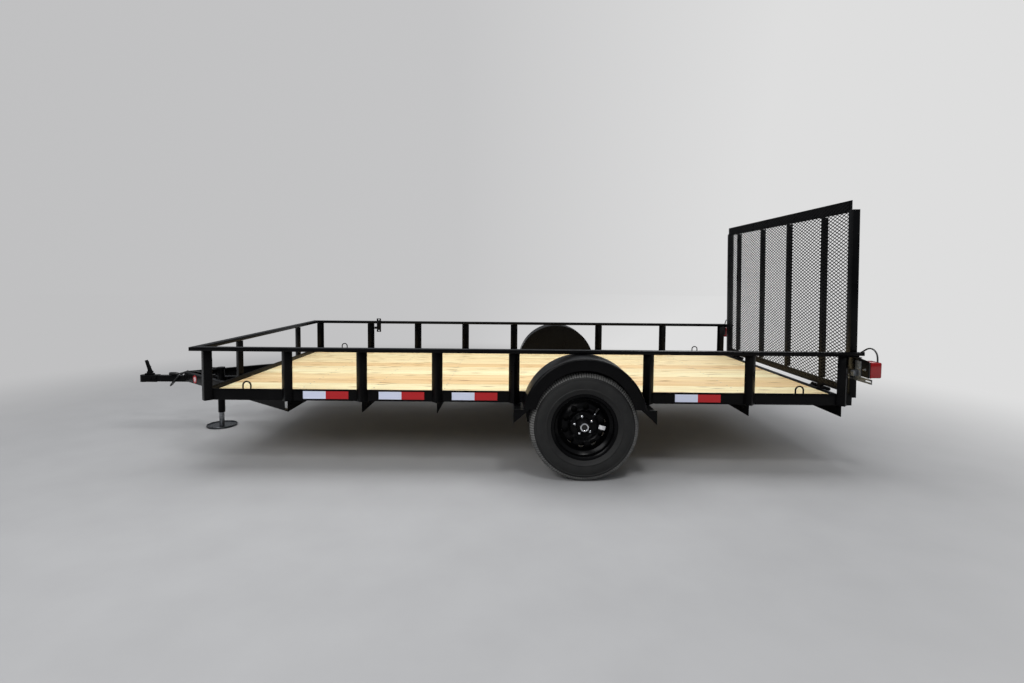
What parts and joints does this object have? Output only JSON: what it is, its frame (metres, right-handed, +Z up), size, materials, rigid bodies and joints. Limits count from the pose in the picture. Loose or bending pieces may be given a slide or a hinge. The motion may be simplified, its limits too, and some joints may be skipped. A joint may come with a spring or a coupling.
{
  "type": "utility trailer",
  "caption": "Towed utility trailer with a timber deck, low side rails on angle-iron posts, fenders over the wheels, a mesh ramp gate and a tongue jack.",
  "frame": {"origin": "on the ground under the middle of the overall length, on the trailer's centre line", "axes": "+X to the rear along the deck, +Y to the trailer's right-hand side, +Z up"},
  "size_m": [5.47, 2.58, 1.7953],
  "materials": {
    "black_enamel": "gloss black enamel",
    "wheel_enamel": "gloss black wheel enamel",
    "pine_boards": "planed and treated softwood, fresh",
    "tyre": "moulded rubber, new",
    "zinc_plate": "bright zinc plate",
    "red_lens": "moulded red acrylic",
    "lamp_plastic": "moulded black plastic"
  },
  "bodies": {
    "chassis": {"axle": "black_enamel", "coupler": "black_enamel", "coupler_latch": "black_enamel", "crossmembers": "black_enamel", "deck_boards": "pine_boards", "fender_braces": "black_enamel", "fender_left": "black_enamel", "fender_right": "black_enamel", "front_rail": "black_enamel", "gate_keepers": "black_enamel", "hinge_pins": "black_enamel", "jack_body": "black_enamel", "jack_crank": "black_enamel", "lamp_brackets": "black_enamel", "leaf_springs": "black_enamel", "number_lamp": "zinc_plate", "number_plate_bar": "zinc_plate", "posts_front": "black_enamel", "posts_left": "black_enamel", "posts_right": "black_enamel", "rear_rail": "black_enamel", "side_rail_left": "black_enamel", "side_rail_right": "black_enamel", "spare_mount": "black_enamel", "spring_clamps": "zinc_plate", "spring_hangers": "black_enamel", "tail_lamp_left": "red_lens", "tail_lamp_right": "red_lens", "tie_down_hoops": "black_enamel", "tongue_legs": "black_enamel", "tongue_pole": "black_enamel", "top_rail_front": "black_enamel", "top_rail_left": "black_enamel", "top_rail_right": "black_enamel", "tow_lead": "lamp_plastic", "lamp_leads": "lamp_plastic"},
    "wheel_left": {"tyre_left": "tyre", "rim_left": "wheel_enamel", "hub_left": "zinc_plate"},
    "wheel_right": {"tyre_right": "tyre", "rim_right": "wheel_enamel", "hub_right": "zinc_plate"},
    "gate": {"gate_frame": "black_enamel", "gate_bars": "black_enamel", "gate_mesh": "black_enamel", "gate_hinges": "black_enamel"},
    "jack_ram": {"jack_leg": "zinc_plate", "jack_foot": "zinc_plate"}
  },
  "joints": [
    {"name": "wheel_left_spin", "type": "hinge", "parent": "chassis", "child": "wheel_left", "pos_m": [0.891, -1.1745, 0.344], "axis": [0, 1, 0], "continuous": true},
    {"name": "wheel_right_spin", "type": "hinge", "parent": "chassis", "child": "wheel_right", "pos_m": [0.891, 1.1745, 0.344], "axis": [0, 1, 0], "continuous": true},
    {"name": "gate_hinge", "type": "hinge", "parent": "chassis", "child": "gate", "pos_m": [2.6975, 0, 0.497], "axis": [0, 1, 0], "range_deg": [0, 113.5]},
    {"name": "jack_slide", "type": "slide", "parent": "chassis", "child": "jack_ram", "axis": [0, 0, 1], "range_m": [0, 0.095]}
  ]
}
